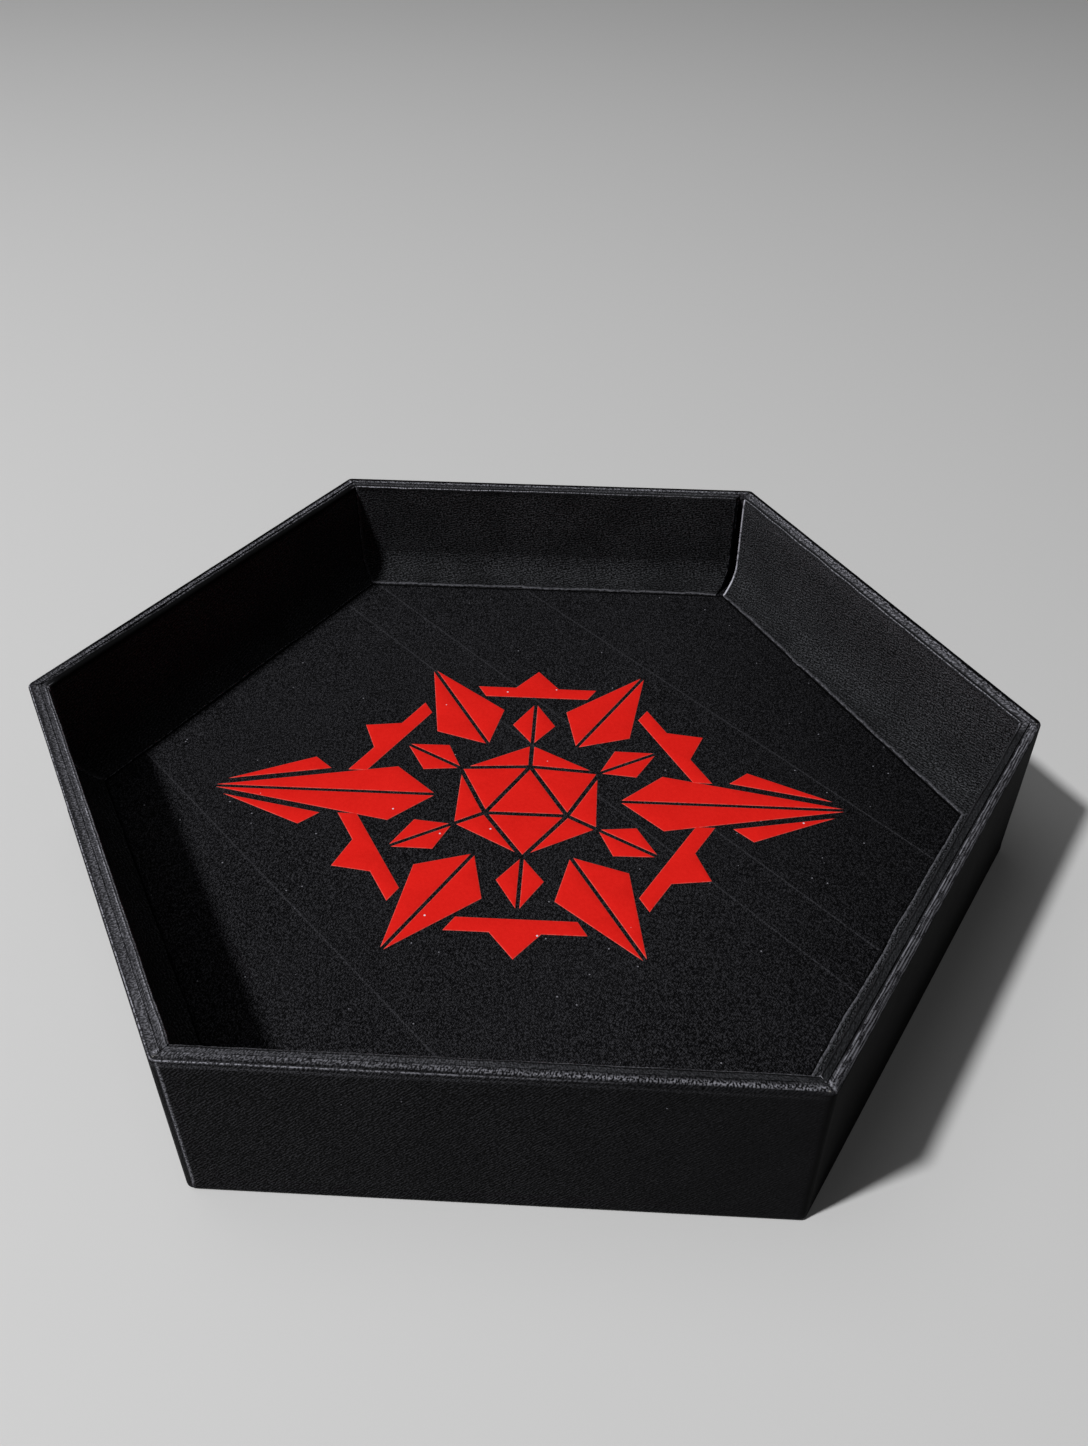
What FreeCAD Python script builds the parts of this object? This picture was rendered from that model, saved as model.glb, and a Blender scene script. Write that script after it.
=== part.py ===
import FreeCAD, Part
import math
import os

# Hexagonal dice tray: six boards stand on a base board and are bound in one leatherette wrap.
# Six curved liner panels trap a padded felt floor inside.
# Millimetres. The origin is the middle of the underside, +Z is up, -Y is the front.
# Two corners lie on the X axis, and the front and back walls are square to Y.

# Overall size
ACROSS_FLATS = 220.0
HEIGHT = 44.4

# Leatherette wrap around the walls
SKIN = 0.4
WRAP_CORNER_RADIUS = 2.0
WRAP_TOP_RADIUS = 0.8
WRAP_FOOT_RADIUS = 0.7
WRAP_RIM_INNER_RADIUS = 0.6
UNDER_TURN_WIDTH = 16.0
TURN_SLIT = 0.5

# Boards
BASE_BOARD = 3.2
WALL_BOARD = 1.6
WALL_TOP_RADIUS = 0.3
STAY_PAPER = 0.15
STAY_WIDTH = 26.0
STAY_END_MARGIN = 2.0

# Sheet under the base
BASE_SHEET = 0.4
BASE_SHEET_INSET = 2.5

# Floor, from the base board up
FLOOR_CLEARANCE = 0.5
FOAM = 4.2
FLOOR_BOARD = 1.6
FELT = 2.0

# Liner panels
GLUE_LINE = 0.1
LINER_BOARD = 1.4
LINER_TOP_DROP = 0.3
LINER_TOP_RADIUS = 0.8
LINER_TURN = 12.0
COVE_RADIUS = 8.0
COVE_SWEEP = 78.0
MITRE_GAP = 0.3
BACK_LINER_SHORTFALL = 2.0

# Ornament printed on the felt: a compass star, a faceted die in its middle and a broken frame
FILM = 0.12
RIDGE_LINE = 1.0
LONG_TIP = 86.0
MAIN_TIP = 63.0
MAIN_SHOULDER = 36.0
MAIN_HALF_WIDTH = 10.5
MAIN_ROOT = 25.0
SMALL_TIP = 40.0
SMALL_SHOULDER = 30.0
SMALL_HALF_WIDTH = 6.0
SMALL_ROOT = 22.5
DIE_RADIUS = 22.0
DIE_FACE_RADIUS = 12.5
DIE_LINE = 1.2
FRAME_APOTHEM = 47.0
FRAME_WIDTH = 4.4
FRAME_GAP = 8.5
SPUR_HEIGHT = 8.0
SPUR_HALF_WIDTH = 8.0
BARB_ROOT = 54.0
BARB_TIP = 81.0
BARB_GAP = 2.0
BARB_WIDTH = 5.5
BARB_SHOULDER = 5.0

# Derived heights
BASE_TOP = BASE_SHEET + SKIN + BASE_BOARD
FOAM_TOP = BASE_TOP + FOAM
FLOOR_BOARD_TOP = FOAM_TOP + FLOOR_BOARD
FELT_TOP = FLOOR_BOARD_TOP + FELT
WALL_TOP = HEIGHT - SKIN
LINER_TOP = HEIGHT - LINER_TOP_DROP

# Derived distances from the middle of the tray to a wall's faces
OUTER = ACROSS_FLATS / 2
BOARD_OUTER = OUTER - SKIN - STAY_PAPER
BOARD_INNER = BOARD_OUTER - WALL_BOARD
WRAP_INNER = BOARD_INNER - SKIN
LINER_BACK = WRAP_INNER - GLUE_LINE
LINER_FACE = LINER_BACK - SKIN - LINER_BOARD - SKIN

# Corner rounding follows the wrap's own radius inwards
BOARD_CORNER_RADIUS = WRAP_CORNER_RADIUS - SKIN - STAY_PAPER
CAVITY_CORNER_RADIUS = WRAP_CORNER_RADIUS - SKIN

# The six sides, named by the way each wall faces, with the angle of its outward normal
SIDES = {
    "back_right": 30,
    "back": 90,
    "back_left": 150,
    "front_left": 210,
    "front": 270,
    "front_right": 330,
}
HALF_SIDE_ANGLE = math.radians(30)
UP = FreeCAD.Vector(0, 0, 1)
CENTRE = FreeCAD.Vector(0, 0, 0)


def point(x, y, z=0.0):
    return FreeCAD.Vector(x, y, z)


def polar(radius, degrees, z=0.0):
    angle = math.radians(degrees)
    return point(radius * math.cos(angle), radius * math.sin(angle), z)


def turned(shape, degrees):
    copy = shape.copy()
    copy.rotate(CENTRE, UP, degrees)
    return copy


def line(start, end):
    return Part.LineSegment(start, end).toShape()


def arc(start, middle, end):
    return Part.Arc(start, middle, end).toShape()


def hexagon(apothem, corner_radius):
    """A flat hexagon with corners on the X axis, each rounded to corner_radius."""
    circumradius = apothem / math.cos(HALF_SIDE_ANGLE)
    if corner_radius <= 0:
        corners = [polar(circumradius, 60 * k) for k in range(7)]
        return Part.Face(Part.makePolygon(corners))
    tangent = corner_radius * math.tan(HALF_SIDE_ANGLE)
    crown = circumradius - corner_radius * (1 / math.cos(HALF_SIDE_ANGLE) - 1)
    starts = []
    ends = []
    for k in range(6):
        corner = polar(circumradius, 60 * k)
        to_next = polar(circumradius, 60 * (k + 1)) - corner
        to_last = polar(circumradius, 60 * (k - 1)) - corner
        starts.append(corner + to_last.normalize() * tangent)
        ends.append(corner + to_next.normalize() * tangent)
    edges = []
    for k in range(6):
        edges.append(arc(starts[k], polar(crown, 60 * k), ends[k]))
        edges.append(line(ends[k], starts[(k + 1) % 6]))
    return Part.Face(Part.Wire(edges))


def prism(apothem, low, high, corner_radius=0.0):
    """An upright hexagonal block between two heights."""
    block = hexagon(apothem, corner_radius).extrude(point(0, 0, high - low))
    block.translate(point(0, 0, low))
    return block


def edges_at(shape, height):
    """Every edge of a shape that lies wholly at one height."""
    close = 1e-4
    return [e for e in shape.Edges
            if abs(e.BoundBox.ZMin - height) < close and abs(e.BoundBox.ZMax - height) < close]


def side_wedge(low, high, right_cut, left_cut):
    """The sixth of the tray that faces +X, less a gap along each of its two mitre planes.

    right_cut and left_cut are measured square to the mitre planes at -30 and +30 degrees.
    """
    reach = 2 * ACROSS_FLATS
    apex = point((right_cut + left_cut) / 2 / math.sin(HALF_SIDE_ANGLE),
                 (right_cut - left_cut) / 2 / math.cos(HALF_SIDE_ANGLE))
    right = apex + polar(reach, -30)
    left = apex + polar(reach, 30)
    outline = Part.makePolygon([point(v.x, v.y, low) for v in (apex, right, left, apex)])
    return Part.Face(outline).extrude(point(0, 0, high - low))


def base_cover():
    """The sheet glued over the wrap's turned-in edges, pressed up against the base board inside them."""
    window = OUTER - UNDER_TURN_WIDTH
    border = prism(OUTER - BASE_SHEET_INSET, 0, BASE_SHEET).cut(
        prism(window - BASE_SHEET, -BASE_SHEET, 2 * BASE_SHEET))
    raised = prism(window, BASE_SHEET, BASE_SHEET + SKIN)
    return border.fuse(raised).removeSplitter()


def base_board():
    return prism(BOARD_OUTER, BASE_SHEET + SKIN, BASE_TOP, BOARD_CORNER_RADIUS)


def wall_ring(outer, inner, low, high, corner_radius=0.0):
    return prism(outer, low, high, corner_radius).cut(prism(inner, low, high))


def wall_board():
    """The upright board of a wall that faces +X, mitred at both ends, with eased top edges."""
    ring = wall_ring(BOARD_OUTER, BOARD_INNER, BASE_TOP, WALL_TOP, BOARD_CORNER_RADIUS)
    ring = ring.makeFillet(WALL_TOP_RADIUS, edges_at(ring, WALL_TOP))
    return turned(ring, 30).common(side_wedge(BASE_TOP, WALL_TOP, 0, 0))


def corner_stay():
    """The paper strip that binds two wall boards round the upright corner on +X."""
    low = BASE_SHEET + SKIN + STAY_END_MARGIN
    high = WALL_TOP - WALL_TOP_RADIUS - STAY_END_MARGIN
    paper = prism(BOARD_OUTER + STAY_PAPER, low, high, CAVITY_CORNER_RADIUS).cut(
        prism(BOARD_OUTER, low, high, BOARD_CORNER_RADIUS))
    span = STAY_WIDTH * math.cos(HALF_SIDE_ANGLE)
    near_corner = Part.makeBox(OUTER, span, high - low, point(OUTER / 2, -span / 2, low))
    return paper.common(near_corner)


def outer_wrap():
    """The one-piece skin: under the base, up the outside, over the rim and down the inside."""
    foot = BASE_SHEET
    outside = prism(OUTER, foot, HEIGHT, WRAP_CORNER_RADIUS)
    outside = outside.makeFillet(WRAP_TOP_RADIUS, edges_at(outside, HEIGHT))
    outside = outside.makeFillet(WRAP_FOOT_RADIUS, edges_at(outside, foot))
    mouth = prism(WRAP_INNER, BASE_TOP, HEIGHT)
    skin = outside.cut(mouth)
    rim_inner = [e for e in edges_at(skin, HEIGHT)
                 if math.hypot(e.CenterOfMass.x, e.CenterOfMass.y) < WRAP_INNER + SKIN]
    skin = skin.makeFillet(WRAP_RIM_INNER_RADIUS, rim_inner)
    walls = wall_ring(OUTER - SKIN, BOARD_INNER, BASE_TOP, WALL_TOP, CAVITY_CORNER_RADIUS)
    walls = walls.makeFillet(WALL_TOP_RADIUS, edges_at(walls, WALL_TOP))
    base = prism(OUTER - SKIN, foot + SKIN, BASE_TOP, CAVITY_CORNER_RADIUS)
    window = prism(OUTER - UNDER_TURN_WIDTH, foot, foot + SKIN)
    for hollow in (walls, base, window):
        skin = skin.cut(hollow)
    for corner in range(6):
        slit = Part.makeBox(UNDER_TURN_WIDTH, TURN_SLIT, SKIN)
        slit_end = (OUTER - BASE_SHEET_INSET) / math.cos(HALF_SIDE_ANGLE)
        slit.translate(point(slit_end - UNDER_TURN_WIDTH, -TURN_SLIT / 2, foot))
        skin = skin.cut(turned(slit, 60 * corner))
    return skin


def cove_point(radius, degrees):
    """A point of the liner's section on the foot curve, degrees below the level of its centre."""
    angle = math.radians(degrees)
    centre_out = LINER_FACE - COVE_RADIUS
    centre_up = FELT_TOP + (COVE_RADIUS + SKIN) * math.sin(math.radians(COVE_SWEEP))
    return point(centre_out + radius * math.cos(angle), 0, centre_up - radius * math.sin(angle))


def round_over(start, corner, end):
    """The quarter arc that eases a square corner of a section."""
    centre = start + end - corner
    middle = centre + (corner - centre).normalize() * (start - centre).Length
    return arc(start, middle, end)


def drawn_out(outline):
    """A section of the +X wall drawn out along it, past both corners."""
    section = Part.Face(Part.Wire(outline))
    section.translate(point(0, -ACROSS_FLATS, 0))
    return section.extrude(point(0, 2 * ACROSS_FLATS, 0))


def liner_panel(inset):
    """The whole +X liner drawn in by inset, from its foot on the felt to its rounded top."""
    face_out = LINER_FACE + inset
    back_out = LINER_BACK - inset
    top = LINER_TOP - inset
    ease = LINER_TOP_RADIUS - inset
    face_radius = COVE_RADIUS + inset
    back_radius = COVE_RADIUS + LINER_BACK - LINER_FACE - inset
    lip = cove_point(face_radius, COVE_SWEEP)
    toe = cove_point(COVE_RADIUS + SKIN, COVE_SWEEP)
    felt_drop = (COVE_RADIUS + SKIN) * math.sin(math.radians(COVE_SWEEP))
    heel_sweep = math.degrees(math.asin(felt_drop / back_radius))
    face_low = cove_point(face_radius, 0)
    face_high = point(face_out, 0, top - ease)
    top_front = point(face_out + ease, 0, top)
    top_back = point(back_out - ease, 0, top)
    back_high = point(back_out, 0, top - ease)
    back_low = cove_point(back_radius, 0)
    heel = cove_point(back_radius, heel_sweep)
    outline = [
        arc(lip, cove_point(face_radius, COVE_SWEEP / 2), face_low),
        line(face_low, face_high),
        round_over(face_high, point(face_out, 0, top), top_front),
        line(top_front, top_back),
        round_over(top_back, point(back_out, 0, top), back_high),
        line(back_high, back_low),
        arc(back_low, cove_point(back_radius, heel_sweep / 2), heel),
        line(heel, toe),
    ]
    if inset < SKIN:
        outline.append(line(toe, lip))
    return drawn_out(outline)


def liner_board():
    """The curved card core of the +X liner, skived to a thin edge where it lands on the felt."""
    return liner_panel(SKIN)


def behind_liner_skin():
    """All the room behind the +X liner's front skin, below the end of its fold at the back."""
    core_radius = COVE_RADIUS + SKIN
    turn_end = LINER_TOP - LINER_TURN
    toe = cove_point(core_radius, COVE_SWEEP)
    core_low = cove_point(core_radius, 0)
    core_high = point(core_low.x, 0, turn_end)
    far_high = point(ACROSS_FLATS, 0, turn_end)
    far_low = point(ACROSS_FLATS, 0, FELT_TOP)
    outline = [
        arc(toe, cove_point(core_radius, COVE_SWEEP / 2), core_low),
        line(core_low, core_high),
        line(core_high, far_high),
        line(far_high, far_low),
        line(far_low, toe),
    ]
    return drawn_out(outline)


def liner_cover():
    """The leatherette skin of the +X liner, folded over its top and cut square at its foot."""
    return liner_panel(0).cut(liner_panel(SKIN)).cut(behind_liner_skin())


def fitted(liner, right_cut):
    """A liner cut off at its two mitres, with a gap to each neighbour."""
    return liner.common(side_wedge(FELT_TOP, HEIGHT, right_cut, MITRE_GAP / 2))


def film(outline):
    """A flat printed shape on the felt, from its outline's points."""
    ring = [point(v.x, v.y, FELT_TOP) for v in outline]
    return Part.Face(Part.makePolygon(ring + ring[:1])).extrude(point(0, 0, FILM))


def split_blade(tip, shoulder, half_width, root):
    """Both halves of a compass point along +X, with a bare ridge line between them."""
    ridge = RIDGE_LINE / 2
    ridge_tip = tip - ridge * (tip - shoulder) / half_width
    halves = []
    for way in (1, -1):
        halves.append(film([point(root, way * ridge), point(shoulder, way * half_width),
                            point(ridge_tip, way * ridge)]))
    return halves


def facet(a, b, c):
    """A printed triangle, drawn in from its three corners' outline by half the bare line."""
    side_a = (b - c).Length
    side_b = (c - a).Length
    side_c = (a - b).Length
    around = side_a + side_b + side_c
    middle = (a * side_a + b * side_b + c * side_c) * (1 / around)
    inner_radius = (b - a).cross(c - a).Length / around
    shrink = 1 - DIE_LINE / 2 / inner_radius
    return film([middle + (v - middle) * shrink for v in (a, b, c)])


def die_facets():
    """The ten faces of a twenty-sided die that show when one face looks straight up."""
    facets = [facet(*[polar(DIE_FACE_RADIUS, 90 + 120 * k) for k in range(3)])]
    for k in range(3):
        lead = 90 + 120 * k
        near = polar(DIE_FACE_RADIUS, lead)
        next_near = polar(DIE_FACE_RADIUS, lead + 120)
        far = polar(DIE_RADIUS, lead)
        facets.append(facet(near, polar(DIE_RADIUS, lead + 60), next_near))
        facets.append(facet(near, far, polar(DIE_RADIUS, lead + 60)))
        facets.append(facet(near, polar(DIE_RADIUS, lead - 60), far))
    return facets


def frame_bar():
    """One side of the broken hexagon frame, facing +X, with a spur pointing outwards."""
    frame = wall_ring(FRAME_APOTHEM, FRAME_APOTHEM - FRAME_WIDTH, FELT_TOP, FELT_TOP + FILM)
    bar = turned(frame, 30).common(side_wedge(FELT_TOP, FELT_TOP + FILM, FRAME_GAP, FRAME_GAP))
    spur_root = FRAME_APOTHEM - FRAME_WIDTH / 2
    spur = film([point(spur_root, -SPUR_HALF_WIDTH), point(FRAME_APOTHEM + SPUR_HEIGHT, 0),
                 point(spur_root, SPUR_HALF_WIDTH)])
    return bar.fuse(spur).removeSplitter()


def barbs():
    """Two slim triangles that lie alongside the long blade on +X, one on each side."""
    slope = MAIN_HALF_WIDTH / (LONG_TIP - MAIN_SHOULDER)

    def beside(out, away):
        return slope * (LONG_TIP - out) + BARB_GAP + away

    shoulder = BARB_ROOT + BARB_SHOULDER
    pair = []
    for way in (1, -1):
        pair.append(film([point(BARB_ROOT, way * beside(BARB_ROOT, 0)),
                          point(BARB_TIP, way * beside(BARB_TIP, 0)),
                          point(shoulder, way * beside(shoulder, BARB_WIDTH))]))
    return pair


def ornament():
    pieces = die_facets()
    for k in range(6):
        along_x = k % 3 == 0
        tip = LONG_TIP if along_x else MAIN_TIP
        if along_x:
            pieces.extend([turned(barb, 60 * k) for barb in barbs()])
        for half in split_blade(tip, MAIN_SHOULDER, MAIN_HALF_WIDTH, MAIN_ROOT):
            pieces.append(turned(half, 60 * k))
        for half in split_blade(SMALL_TIP, SMALL_SHOULDER, SMALL_HALF_WIDTH, SMALL_ROOT):
            pieces.append(turned(half, 60 * k + 30))
        pieces.append(turned(frame_bar(), 60 * k + 30))
    return Part.makeCompound(pieces)


def save(name, shape):
    shape.exportStep("parts/" + name + ".step")


os.makedirs("parts", exist_ok=True)
save("base_cover", base_cover())
save("base_board", base_board())
save("outer_wrap", outer_wrap())
save("floor_pad", prism(WRAP_INNER - FLOOR_CLEARANCE, BASE_TOP, FOAM_TOP))
save("floor_board", prism(WRAP_INNER - FLOOR_CLEARANCE, FOAM_TOP, FLOOR_BOARD_TOP))
save("floor_felt", prism(WRAP_INNER - FLOOR_CLEARANCE, FLOOR_BOARD_TOP, FELT_TOP))
save("floor_emblem", ornament())

upright = wall_board()
stay = corner_stay()
core = liner_board()
cover = liner_cover()
for number, (side, degrees) in enumerate(SIDES.items()):
    right_cut = MITRE_GAP / 2
    if side == "back":
        right_cut = right_cut + BACK_LINER_SHORTFALL
    save("wall_board_" + side, turned(upright, degrees))
    save("corner_stay_" + str(number + 1), turned(stay, 60 * number))
    save("liner_board_" + side, turned(fitted(core, right_cut), degrees))
    save("liner_cover_" + side, turned(fitted(cover, right_cut), degrees))
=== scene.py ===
import math
from collections import namedtuple
from types import SimpleNamespace

import bmesh
import bpy
import numpy as np
from mathutils import Matrix, Vector


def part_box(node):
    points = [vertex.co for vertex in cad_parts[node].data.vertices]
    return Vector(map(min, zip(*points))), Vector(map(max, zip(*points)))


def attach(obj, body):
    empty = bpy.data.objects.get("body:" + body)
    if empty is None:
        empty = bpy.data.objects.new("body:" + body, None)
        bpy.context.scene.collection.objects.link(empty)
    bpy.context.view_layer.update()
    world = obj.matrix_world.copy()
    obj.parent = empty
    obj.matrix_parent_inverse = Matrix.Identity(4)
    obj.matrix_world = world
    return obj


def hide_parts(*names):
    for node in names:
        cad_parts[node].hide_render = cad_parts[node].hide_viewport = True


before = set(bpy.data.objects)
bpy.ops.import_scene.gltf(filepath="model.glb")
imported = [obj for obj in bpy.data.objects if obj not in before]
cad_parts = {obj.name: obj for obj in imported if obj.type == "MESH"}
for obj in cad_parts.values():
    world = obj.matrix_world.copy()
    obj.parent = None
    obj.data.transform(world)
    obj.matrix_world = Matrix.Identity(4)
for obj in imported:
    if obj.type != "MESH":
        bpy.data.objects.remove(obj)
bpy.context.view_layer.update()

# Lengths are in millimetres and become metres where a mesh is made.
# The origin is the middle of the underside, +Z is up, -Y is the front, and two corners lie on X.
MM = 0.001
TAU = 2 * math.pi
QUARTER = math.pi / 2
COS30 = math.cos(math.radians(30))
TAN30 = math.tan(math.radians(30))


def extent(node):
    low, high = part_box(node)
    return low / MM, high / MM


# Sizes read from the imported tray
OUTER = extent("outer_wrap")[1].y
FOOT, HEIGHT = (corner.z for corner in extent("outer_wrap"))
BASE_TOP = extent("wall_board_front")[0].z
BOARD_INNER = -extent("wall_board_front")[1].y
FELT_REACH = extent("floor_felt")[1].y
FELT_BOTTOM, FELT_TOP = (corner.z for corner in extent("floor_felt"))
FOAM_BOTTOM, FOAM_TOP = (corner.z for corner in extent("floor_pad"))
LINER_BACK = -extent("liner_cover_front")[0].y
LINER_TOP = extent("liner_cover_front")[1].z
SHEET_REACH = extent("base_cover")[1].y
FILM = extent("floor_emblem")[1].z - FELT_TOP

# Sizes of the skins and the liners' boards, which the boxes don't give
SKIN = FOOT
WRAP_CORNER_RADIUS = 2.0
WRAP_TOP_RADIUS = 0.8
WRAP_FOOT_RADIUS = 0.7
WRAP_RIM_INNER_RADIUS = 0.06
SHARPEST_CORNER = 0.15
UNDER_TURN_WIDTH = 16.0
WRAP_INNER = BOARD_INNER - SKIN
LINER_BOARD = 1.4
LINER_FACE = LINER_BACK - 2 * SKIN - LINER_BOARD
LINER_TOP_RADIUS = 0.8
LINER_TOP_BACK_RADIUS = 0.06
LINER_TURN = 12.0
COVE_RADIUS = 8.0
COVE_SWEEP = math.radians(78)
MITRE_GAP = 0.3
BACK_LINER_SHORTFALL = 2.0

# The six sides, by the angle of the outward normal in degrees
SIDES = {"back_right": 30, "back": 90, "back_left": 150, "front_left": 210, "front": 270, "front_right": 330}


# Shapes

def compass(degrees):
    """The level direction at an angle round the tray."""
    turn = math.radians(degrees)
    return math.cos(turn), math.sin(turn)


def unevenness(points, wavelength, seed, count=14):
    """A smooth uneven value near -1 to 1 at each point, that changes over about the wavelength."""
    draw = np.random.default_rng(seed)
    directions = draw.normal(size=(count, 3))
    directions /= np.linalg.norm(directions, axis=1)[:, None]
    lengths = wavelength * draw.uniform(0.6, 1.7, count)
    phases = draw.uniform(0, TAU, count)
    angles = points @ (directions / lengths[:, None]).T * TAU + phases
    return np.sin(angles).sum(-1) / math.sqrt(2 * count)


def ease(value, low, high):
    """0 on low's side, 1 on high's side, and a smooth change between them."""
    t = np.clip((value - low) / (high - low), 0, 1)
    return t * t * (3 - 2 * t)


def hill(value, half_width):
    """1 where the value is 0, falling off smoothly to both sides of it."""
    return np.exp(-(value / half_width) ** 2)


def degrees_round(points):
    return np.degrees(np.arctan2(points[..., 1], points[..., 0])) % 360


def reader(points):
    """Reads a table by the angle round the tray at each point, running evenly between its values."""
    degrees = degrees_round(points)
    return lambda table: np.interp(degrees, [*table, 360], [*table.values(), table[0]])


def on_a_line(values):
    """Points that lie along X, for a value that changes in one direction only."""
    return np.stack([values, np.zeros_like(values), np.zeros_like(values)], -1)


def arc(centre, radius, start, end, count):
    """Points of an arc in a section, from start to end in radians, both ends included."""
    turns = np.linspace(start, end, count)
    return [(centre[0] + radius * math.cos(t), centre[1] + radius * math.sin(t)) for t in turns]


def joined(points, *stretches):
    """A section of points and arcs. Each is led to by a straight stretch, whose step comes before it."""
    for step, following in zip(stretches[::2], stretches[1::2]):
        start, end = np.array(points[-1]), np.array(following[0])
        count = max(1, round(float(np.linalg.norm(end - start)) / step))
        points = [*points, *(start + (end - start) * k / count for k in range(1, count)), *following]
    return np.array(points)


def section_normals(section):
    """Unit normals of an open section, to the left of its direction."""
    along = np.gradient(section, axis=0)
    along /= np.linalg.norm(along, axis=1)[:, None]
    return np.stack([-along[:, 1], along[:, 0]], -1)


def section_lengths(section):
    steps = np.linalg.norm(np.diff(section, axis=0), axis=1)
    return np.concatenate([[0], np.cumsum(steps)])


def put_in_scene(name, data):
    made = bpy.data.objects.new(name, data)
    bpy.context.scene.collection.objects.link(made)
    return made


def new_piece(name, mesh, materials):
    """A smooth-shaded piece that rides on the tray's one body."""
    for material in materials:
        mesh.materials.append(material)
    mesh.validate()
    mesh.shade_smooth()
    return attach(put_in_scene(name, mesh), "root")


def store(mesh, name, kind, domain, values):
    layer = mesh.attributes.new(name, kind, domain)
    field = "vector" if kind == "FLOAT_VECTOR" else "value"
    number = bool if kind == "BOOLEAN" else np.float32
    layer.data.foreach_set(field, np.asarray(values, number).ravel())


def thick_sheet(name, front, back, closed, cloth_u, cloth_v, marks, materials):
    """A skin with a front and a back grid of points, joined along its open borders.

    Both grids run along the sheet, then across it. The border faces take the second material, and
    their edges are sharp. cloth_u and cloth_v are lengths along and across the cloth, and marks holds
    the values that the materials read at each front point, by name.
    """
    rows, columns = front.shape[:2]

    def faces_between(corners, flip):
        """Faces by their four corners, each a row, a column and 0 for the front or 1 for the back."""
        made = np.stack([np.stack(np.broadcast_arrays(*corner), -1) for corner in corners], 1)
        return made[:, ::-1] if flip else made

    a, b = np.arange(rows if closed else rows - 1), np.arange(columns - 1)
    i, j = (places.ravel() for places in np.meshgrid(a, b, indexing="ij"))
    corners = [faces_between([(i, j, s), (i + 1, j, s), (i + 1, j + 1, s), (i, j + 1, s)], s == 1)
               for s in (0, 1)]
    skin_faces = 2 * len(i)
    for end, flip in ((0, False), (columns - 1, True)):
        corners.append(faces_between([(a, end, 0), (a, end, 1), (a + 1, end, 1), (a + 1, end, 0)], flip))
    for end, flip in () if closed else ((0, True), (rows - 1, False)):
        corners.append(faces_between([(end, b, 0), (end, b, 1), (end, b + 1, 1), (end, b + 1, 0)], flip))
    corners = np.concatenate(corners)
    outward = np.cross(front[1, 0] - front[0, 0], front[0, 1] - front[0, 0])
    if outward @ (front - back)[0, 0] < 0:
        corners = corners[:, ::-1]
    row, column, layer = np.moveaxis(corners, -1, 0)
    faces = (layer * rows + row % rows) * columns + column
    vertices = np.concatenate([front.reshape(-1, 3), back.reshape(-1, 3)]) * MM
    mesh = bpy.data.meshes.new(name)
    mesh.from_pydata(vertices.tolist(), [], faces.tolist())
    mesh.polygons.foreach_set("material_index", (np.arange(len(faces)) >= skin_faces).astype(np.int32))
    cloth = np.stack([cloth_u[row], cloth_v[column], np.zeros(row.shape)], -1)
    store(mesh, "cloth", "FLOAT_VECTOR", "CORNER", cloth)
    for mark, values in marks.items():
        store(mesh, mark, "FLOAT", "POINT", np.tile(values.ravel(), 2))
    piece = new_piece(name, mesh, materials)
    sharp = np.zeros(len(mesh.edges), bool)
    edge_of = {tuple(sorted(edge.vertices)): edge.index for edge in mesh.edges}
    for ring in faces[skin_faces:].tolist():
        for ends in zip(ring, ring[1:] + ring[:1]):
            sharp[edge_of[tuple(sorted(ends))]] = True
    store(mesh, "sharp_edge", "BOOLEAN", "EDGE", sharp)
    return piece


# The wrap: one skin under the base, up the outside, over the rim and down the inside

SIDE_STEPS = 210
CORNER_STEPS = 13
CREST_INSET = 0.45
CREST_HALF_WIDTH = 0.12
FOLD_INSET = 0.85
FOLD_HALF_WIDTH = 0.13
DEEPEST_WRAP_SINK = 0.36
MITRE_REACH = math.tan(0.3)

# The thin folds drawn out along the front right rim: their pitch, and how far they drift sideways
DRAWN_PITCH = 0.58
DRAWN_DRIFT = 0.07

# Tables by the angle round the tray, in degrees. Wear is how pale the skin is rubbed; on the crest,
# the upright corners, the fuzz below the crest and the mitre lines it is partly a painted highlight.
# Shade is painted shade: along the outer edge, in the fold, beside the upright corners and on the outer
# faces.
CREST_WEAR_AND_HIGHLIGHT = {0: 0.0, 150: 0.0, 170: 0.1, 180: 0.8, 210: 0.9, 238: 1.0, 256: 0.65, 272: 0.3, 285: 0.0}
EDGE_SHADE = {0: 0.95, 120: 0.95, 170: 0.9, 190: 0.0, 359: 0.0}
FOLD_SHADE = {0: 0.1, 170: 0.2, 185: 0.75, 210: 0.65, 238: 0.35, 242: 0.9, 270: 0.9, 285: 0.5, 298: 0.3,
              302: 0.1}
FOLD_SPREAD = {0: 0.0, 185: 0.5, 255: 0.5, 265: 0.3, 280: 0.0}
UPRIGHT_WEAR_AND_HIGHLIGHT = {0: 0.0, 60: 0.1, 120: 0.1, 180: 0.2, 240: 0.8, 300: 0.0}
UPRIGHT_SHADE = {0: 0.9, 60: 0.3, 120: 0.3, 180: 0.5, 240: 0.2, 300: 1.0}
BEVEL_FUZZ_AND_HIGHLIGHT = {0: 0.1, 60: 0.0, 120: 0.0, 180: 0.3, 240: 1.0, 270: 0.6, 300: 0.2, 330: 0.1}
FACE_SHADE = {0: 0.5, 60: 0.3, 180: 0.1, 240: 0.0, 270: 0.0, 300: 0.1, 301: 0.75, 330: 0.75}
GRAIN_CLARITY = {0: 0.3, 180: 0.8, 240: 1.0, 270: 0.95, 300: 0.2, 330: 0.2}
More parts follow.
